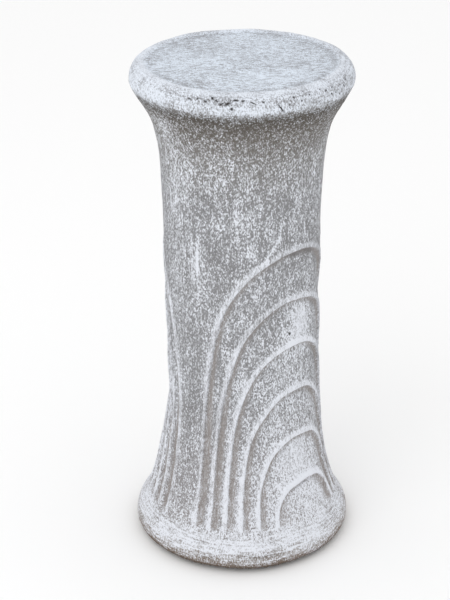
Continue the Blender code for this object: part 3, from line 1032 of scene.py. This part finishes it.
def washed_stone(finish, form):
    """Cast concrete, dry-brushed with thin lime wash.

    The brush leaves the wash on the high grain, the crests, the lip and the base, and misses the coves and
    the neck. The eye gets dense light flecks over grey-brown cement, in short strokes that follow the brush.
    """
    material = bpy.data.materials.new("dry-brushed cast stone")
    material.use_nodes = True
    tree = material.node_tree
    shader = tree.nodes["Principled BSDF"]
    place = add(tree, "ShaderNodeTexCoord").outputs["Object"]
    split = add(tree, "ShaderNodeSeparateXYZ", (place,)).outputs
    flat = add(tree, "ShaderNodeVectorMath", (place, (1.0, 1.0, 0.0)), operation="MULTIPLY")
    radius = add(tree, "ShaderNodeVectorMath", (flat,), operation="LENGTH")
    crest = add(tree, "ShaderNodeAttribute", attribute_name="crest").outputs["Fac"]
    cove = add(tree, "ShaderNodeAttribute", attribute_name="cove").outputs["Fac"]
    strokes = add(tree, "ShaderNodeAttribute", attribute_name="strokes").outputs["Fac"]

    # Where the brush went another way: across the flat top, and round the lip and the base
    rim = form.lip_radius - form.rim_inset
    lip_height = form.height - form.lip_drop * LIP_DROPS
    on_lip = add(tree, "ShaderNodeMapRange", (split["Z"], lip_height - LIP_FADE, lip_height, 0.0, 1.0))
    inside_rim = add(tree, "ShaderNodeMapRange", (radius, rim - RIM_FADE, rim - form.rim_slope, 0.0, 1.0))
    on_top = add(tree, "ShaderNodeMath", (inside_rim, on_lip), operation="MULTIPLY")
    on_base = add(tree, "ShaderNodeMapRange", (split["Z"], *BASE_FADE, 0.0, 1.0))
    rounded = add(tree, "ShaderNodeMath", (on_lip, on_base), operation="MAXIMUM")

    # Upright streaks, and short strokes that lean either way, because the pattern turns with height
    upright = (1.0, (1.0, 1.0, finish.streak_length / finish.streak_width), 2.0, STREAK_STRENGTH)
    brushed = mottle(tree, place, finish.streak_width, upright)
    for lean in (finish.lean, -finish.lean):
        twist = math.tan(lean) / form.waist_radius
        turn = add(tree, "ShaderNodeMath", (split["Z"], twist), operation="MULTIPLY")
        turned = add(tree, "ShaderNodeVectorRotate", {"Vector": place, "Angle": turn}, rotation_type="Z_AXIS")
        leaning = mottle(tree, turned, finish.grain, LEANING_STROKES)
        brushed = add(tree, "ShaderNodeMath", (brushed, leaning), operation="ADD")
    round_strokes = mottle(tree, place, finish.streak_width, ROUND_STROKES)
    firmer = add(tree, "ShaderNodeMapRange", (on_base, *ROUND_FIRMNESS))
    round_strokes = add(tree, "ShaderNodeMath", (round_strokes, firmer), operation="MULTIPLY")
    turned = {"Vector": place, "Angle": -finish.top_strokes}
    across = add(tree, "ShaderNodeVectorRotate", turned, rotation_type="Z_AXIS")
    sway = add(tree, "ShaderNodeTexNoise", {"Vector": place, "Scale": 1.0 / TOP_SWAY_SIZE, "Detail": 0.0})
    bent = (sway.outputs[1], (TOP_SWAY,) * 3, across)
    across = add(tree, "ShaderNodeVectorMath", bent, operation="MULTIPLY_ADD")
    top_strokes = mottle(tree, across, finish.streak_width, TOP_STROKES)
    strokes_here = add(tree, "ShaderNodeMix", (rounded, brushed, round_strokes), data_type="FLOAT")
    strokes_here = add(tree, "ShaderNodeMix", (on_top, strokes_here, top_strokes), data_type="FLOAT")

    # Flecks where the wash caught the grain, fewer where it is carved and fainter on the neck and the top
    flecks = mottle(tree, place, finish.grain, FLECKS)
    drawn = add(tree, "ShaderNodeVectorMath", (place, GRAIN_SQUASH), operation="MULTIPLY")
    grains = add(tree, "ShaderNodeTexVoronoi", {"Vector": drawn, "Scale": 1.0 / finish.grain})
    caught = add(tree, "ShaderNodeSeparateXYZ", (grains.outputs["Color"],))
    grit = add(tree, "ShaderNodeMapRange", (caught, 0.0, 1.0, -GRIT, GRIT))
    speckled = add(tree, "ShaderNodeMath", (flecks, grit), operation="ADD")
    near_top = [form.height - drop for drop in TOP_CALM_DROPS]
    smooth_top = add(tree, "ShaderNodeMapRange", (split["Z"], *near_top, 0.0, TOP_CALM))
    carved = add(tree, "ShaderNodeMath", (crest, cove), operation="MAXIMUM")
    calmer = add(tree, "ShaderNodeMath", (carved, CARVED_CALM), operation="MULTIPLY")
    rounded_calm = add(tree, "ShaderNodeMath", (rounded, ROUNDED_CALM), operation="MULTIPLY")
    neck_calm = add(tree, "ShaderNodeMapRange", (split["Z"], *NECK_CALM))
    for calm in (smooth_top, rounded_calm, neck_calm):
        calmer = add(tree, "ShaderNodeMath", (calmer, calm), operation="MAXIMUM")
    left_over = add(tree, "ShaderNodeMath", (1.0, calmer), operation="SUBTRACT")
    speckled = add(tree, "ShaderNodeMath", (speckled, left_over, strokes_here), operation="MULTIPLY_ADD")
    thin = add(tree, "ShaderNodeMapRange", (strokes, *STROKE_THINNING))
    speckled = add(tree, "ShaderNodeMath", (speckled, thin), operation="MULTIPLY")

    # How much wash covers the stone: by height and radius, by the listed strokes, on crests and coves, in
    # patches
    ring = level_ramp(tree, radius, RIM_LEVELS)
    level = level_ramp(tree, split["Z"], WASH_LEVELS)
    caught_by_crest = add(tree, "ShaderNodeMapRange", (split["Z"], *CREST_WASH))
    kept = add(tree, "ShaderNodeMath", (cove, COVE_SHIELD, 1.0), operation="MULTIPLY_ADD")
    cover = add(tree, "ShaderNodeMath", (level, strokes), operation="ADD")
    cover = add(tree, "ShaderNodeMath", (cover, kept), operation="MULTIPLY")
    for part in (
        add(tree, "ShaderNodeMath", (ring, on_lip), operation="MULTIPLY"),
        add(tree, "ShaderNodeMath", (crest, caught_by_crest), operation="MULTIPLY"),
        add(tree, "ShaderNodeMath", (cove, COVE_LOSS), operation="MULTIPLY"),
        mottle(tree, place, finish.patch, PATCHES),
        mottle(tree, place, finish.patch, SMALL_PATCHES),
        speckled,
    ):
        cover = add(tree, "ShaderNodeMath", (cover, part), operation="ADD")
    wash = add(tree, "ShaderNodeMapRange", (cover, *WASH_CONTRAST))

    # Bare cement: its tint changes with height, with painted shade on the underside of the lip and of the
    # base's roll, darker between the grains and warm in the coves
    tint = level_ramp(tree, split["Z"], STONE_TINTS)
    warm = add(tree, "ShaderNodeMath", (cove, COVE_DIRT), operation="MULTIPLY")
    tint = add(tree, "ShaderNodeMix", (warm, tint, tuple(finish.cove)), data_type="RGBA")
    shade = mottle(tree, place, finish.grain, CEMENT_SHADES)
    shade = add(tree, "ShaderNodeMapRange", (shade, *CEMENT_CONTRAST))
    # Strokes that take wash off darken the bare stone: old stains, and painted shadow under the outer crowns
    stains_and_crown_shadow = add(tree, "ShaderNodeMapRange", (strokes, *STAIN_AND_SHADOW_DARKENING))
    shade = add(tree, "ShaderNodeMath", (shade, stains_and_crown_shadow), operation="MULTIPLY")
    bare = add(tree, "ShaderNodeVectorMath", (tint, shade), operation="SCALE")
    # The top gets the bluish wash and the lip half of it: painted cool sky light on the faces that look up
    sky_tint_share = add(tree, "ShaderNodeMath", (on_top, on_lip), operation="ADD")
    sky_tint_share = add(tree, "ShaderNodeMath", (sky_tint_share, 0.5), operation="MULTIPLY")
    lime = add(tree, "ShaderNodeMix", (sky_tint_share, tuple(finish.wash), tuple(finish.sky_tinted_wash)), data_type="RGBA")
    coat = add(tree, "ShaderNodeMix", (wash, bare, lime), data_type="RGBA")

    # Air holes: thick on the lip, rare elsewhere, in the pit colour as painted shade inside them
    cells = add(tree, "ShaderNodeTexVoronoi", {"Vector": place, "Scale": 1.0 / HOLE_SPACING})
    holes = add(tree, "ShaderNodeMapRange", (cells, *HOLE_EDGE))
    cluster = mottle(tree, place, CLUSTER_SIZE, HOLE_CLUSTERS)
    cluster = add(tree, "ShaderNodeMapRange", (cluster, *CLUSTER_EDGE))
    often = add(tree, "ShaderNodeMapRange", (rounded, *HOLES_ON_ROUNDS))
    holes = add(tree, "ShaderNodeMath", (holes, cluster), operation="MULTIPLY")
    holes = add(tree, "ShaderNodeMath", (holes, often), operation="MULTIPLY")
    holes = add(tree, "ShaderNodeMath", (holes, dark_marks(tree, place, form)), operation="MAXIMUM")
    surface = add(tree, "ShaderNodeMix", (holes, coat, tuple(finish.pit)), data_type="RGBA")
    tree.links.new(surface.outputs[2], shader.inputs["Base Color"])

    shader.inputs["Roughness"].default_value = 0.92
    shader.inputs["Specular IOR Level"].default_value = 0.25
    relief = add(tree, "ShaderNodeMath", (flecks, FLECK_RISE), operation="MULTIPLY")
    for part, rise in ((wash, WASH_RISE), (holes, HOLE_RISE)):
        relief = add(tree, "ShaderNodeMath", (part, rise, relief), operation="MULTIPLY_ADD")
    bump = add(tree, "ShaderNodeBump", {"Height": relief, "Strength": 0.5, "Distance": RELIEF_DEPTH})
    tree.links.new(bump.outputs[0], shader.inputs["Normal"])
    return material


class COLUMN_OT_cast_stone(bpy.types.Operator):
    """Casts the column: turned form, nested arches, uneven stone and brushed wash"""

    bl_idname = "column.cast_stone"
    bl_label = "Cast Stone Column"

    def execute(self, context):
        form, carving, surface, finish = (getattr(context.scene, name) for name in COLUMN_SETTINGS)
        half = bpy.data.objects.new("half column", half_column_mesh(form, carving))
        context.scene.collection.objects.link(half)
        mirror = half.modifiers.new("other half", "MIRROR")
        mirror.use_clip = True
        mirror.merge_threshold = SEAM_WELD
        material = washed_stone(finish, form)
        casting = half.modifiers.new("casting surface", "NODES")
        casting.node_group = casting_tree(material)
        names = CASTING_SIZES + ("Seed",)
        set_inputs(casting, {name: getattr(surface, name.lower().replace(" ", "_")) for name in names})
        column = plain_mesh(half, "stone_column")
        hollow_out(column.data)
        mark_strokes(column.data, form)
        column.data.shade_smooth()
        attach(column, "root")
        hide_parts(COLUMN_NODE)
        return {"FINISHED"}


class COLUMN_OT_stage(bpy.types.Operator):
    """Sets the pale floor, the soft light and the camera at the photograph's viewing angle"""

    bl_idname = "column.stage"
    bl_label = "Stage"

    def execute(self, context):
        setup = context.scene.stage_setup
        add_floor(setup)
        add_light(setup)
        add_camera(setup)
        return {"FINISHED"}


# The soft lamp's width, place and aim, and the width of the camera's frame in millimetres
LAMP_WIDTH = 2.2
LAMP_PLACE = (0.35, -1.9, 2.3)
LAMP_AIM = (0.0, 0.0, 0.35)
FRAME_WIDTH = 36.0


def add_floor(setup):
    side = setup.floor_size / 2
    corners = [(-side, -side, 0.0), (side, -side, 0.0), (side, side, 0.0), (-side, side, 0.0)]
    mesh = bpy.data.meshes.new("floor")
    mesh.from_pydata(corners, [], [(0, 1, 2, 3)])
    floor = bpy.data.objects.new("floor", mesh)
    bpy.context.scene.collection.objects.link(floor)
    material = bpy.data.materials.new("matt studio paper")
    material.use_nodes = True
    shader = material.node_tree.nodes["Principled BSDF"]
    shader.inputs["Base Color"].default_value = tuple(setup.floor)
    shader.inputs["Roughness"].default_value = 0.95
    mesh.materials.append(material)
    floor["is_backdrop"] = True


def add_light(setup):
    world = bpy.data.worlds.new("overcast")
    bpy.context.scene.world = world
    world.use_nodes = True
    sky = world.node_tree.nodes["Background"]
    sky.inputs["Color"].default_value = (1.0, 1.0, 1.0, 1.0)
    sky.inputs["Strength"].default_value = setup.sky
    bpy.context.scene.view_settings.view_transform = "Standard"
    lamp = bpy.data.lights.new("overhead", "AREA")
    lamp.shape = "DISK"
    lamp.size = LAMP_WIDTH
    lamp.energy = setup.key
    overhead = bpy.data.objects.new("overhead", lamp)
    overhead.location = LAMP_PLACE
    overhead.rotation_euler = (Vector(LAMP_AIM) - Vector(LAMP_PLACE)).to_track_quat("-Z", "Y").to_euler()
    bpy.context.scene.collection.objects.link(overhead)


def add_camera(setup):
    camera = bpy.data.objects.new("camera", bpy.data.cameras.new("camera"))
    camera.data.lens = setup.lens
    camera.data.sensor_width = FRAME_WIDTH
    camera.data.shift_x = setup.shift
    camera.location = (
        setup.distance * math.sin(setup.azimuth),
        -setup.distance * math.cos(setup.azimuth),
        setup.camera_height,
    )
    camera.rotation_euler = (math.pi / 2 - setup.pitch, 0.0, setup.azimuth)
    bpy.context.scene.collection.objects.link(camera)
    bpy.context.scene.camera = camera


class COLUMN_PT_sidebar(bpy.types.Panel):
    """Lists the column's pieces and the stage"""

    bl_label = "Cast Stone Column"
    bl_space_type = "VIEW_3D"
    bl_region_type = "UI"
    bl_category = "Column"

    def draw(self, context):
        for operator, groups in (
            (COLUMN_OT_cast_stone, COLUMN_SETTINGS),
            (COLUMN_OT_stage, ("stage_setup",)),
        ):
            box = self.layout.box()
            box.operator(operator.bl_idname)
            for group in groups:
                settings = getattr(context.scene, group)
                for name in settings.__annotations__:
                    box.prop(settings, name)


SETTINGS = {
    "turned_form": TurnedForm,
    "arch_carving": ArchCarving,
    "casting_surface": CastingSurface,
    "stone_finish": StoneFinish,
    "stage_setup": StageSetup,
}
CLASSES = tuple(SETTINGS.values()) + (COLUMN_OT_cast_stone, COLUMN_OT_stage, COLUMN_PT_sidebar)


def register():
    for kind in CLASSES:
        bpy.utils.register_class(kind)
    for name, kind in SETTINGS.items():
        setattr(bpy.types.Scene, name, PointerProperty(type=kind))


def unregister():
    for name in SETTINGS:
        delattr(bpy.types.Scene, name)
    for kind in reversed(CLASSES):
        bpy.utils.unregister_class(kind)


def main():
    register()
    bpy.ops.column.stage()
    bpy.ops.column.cast_stone()


if __name__ == "__main__":
    main()
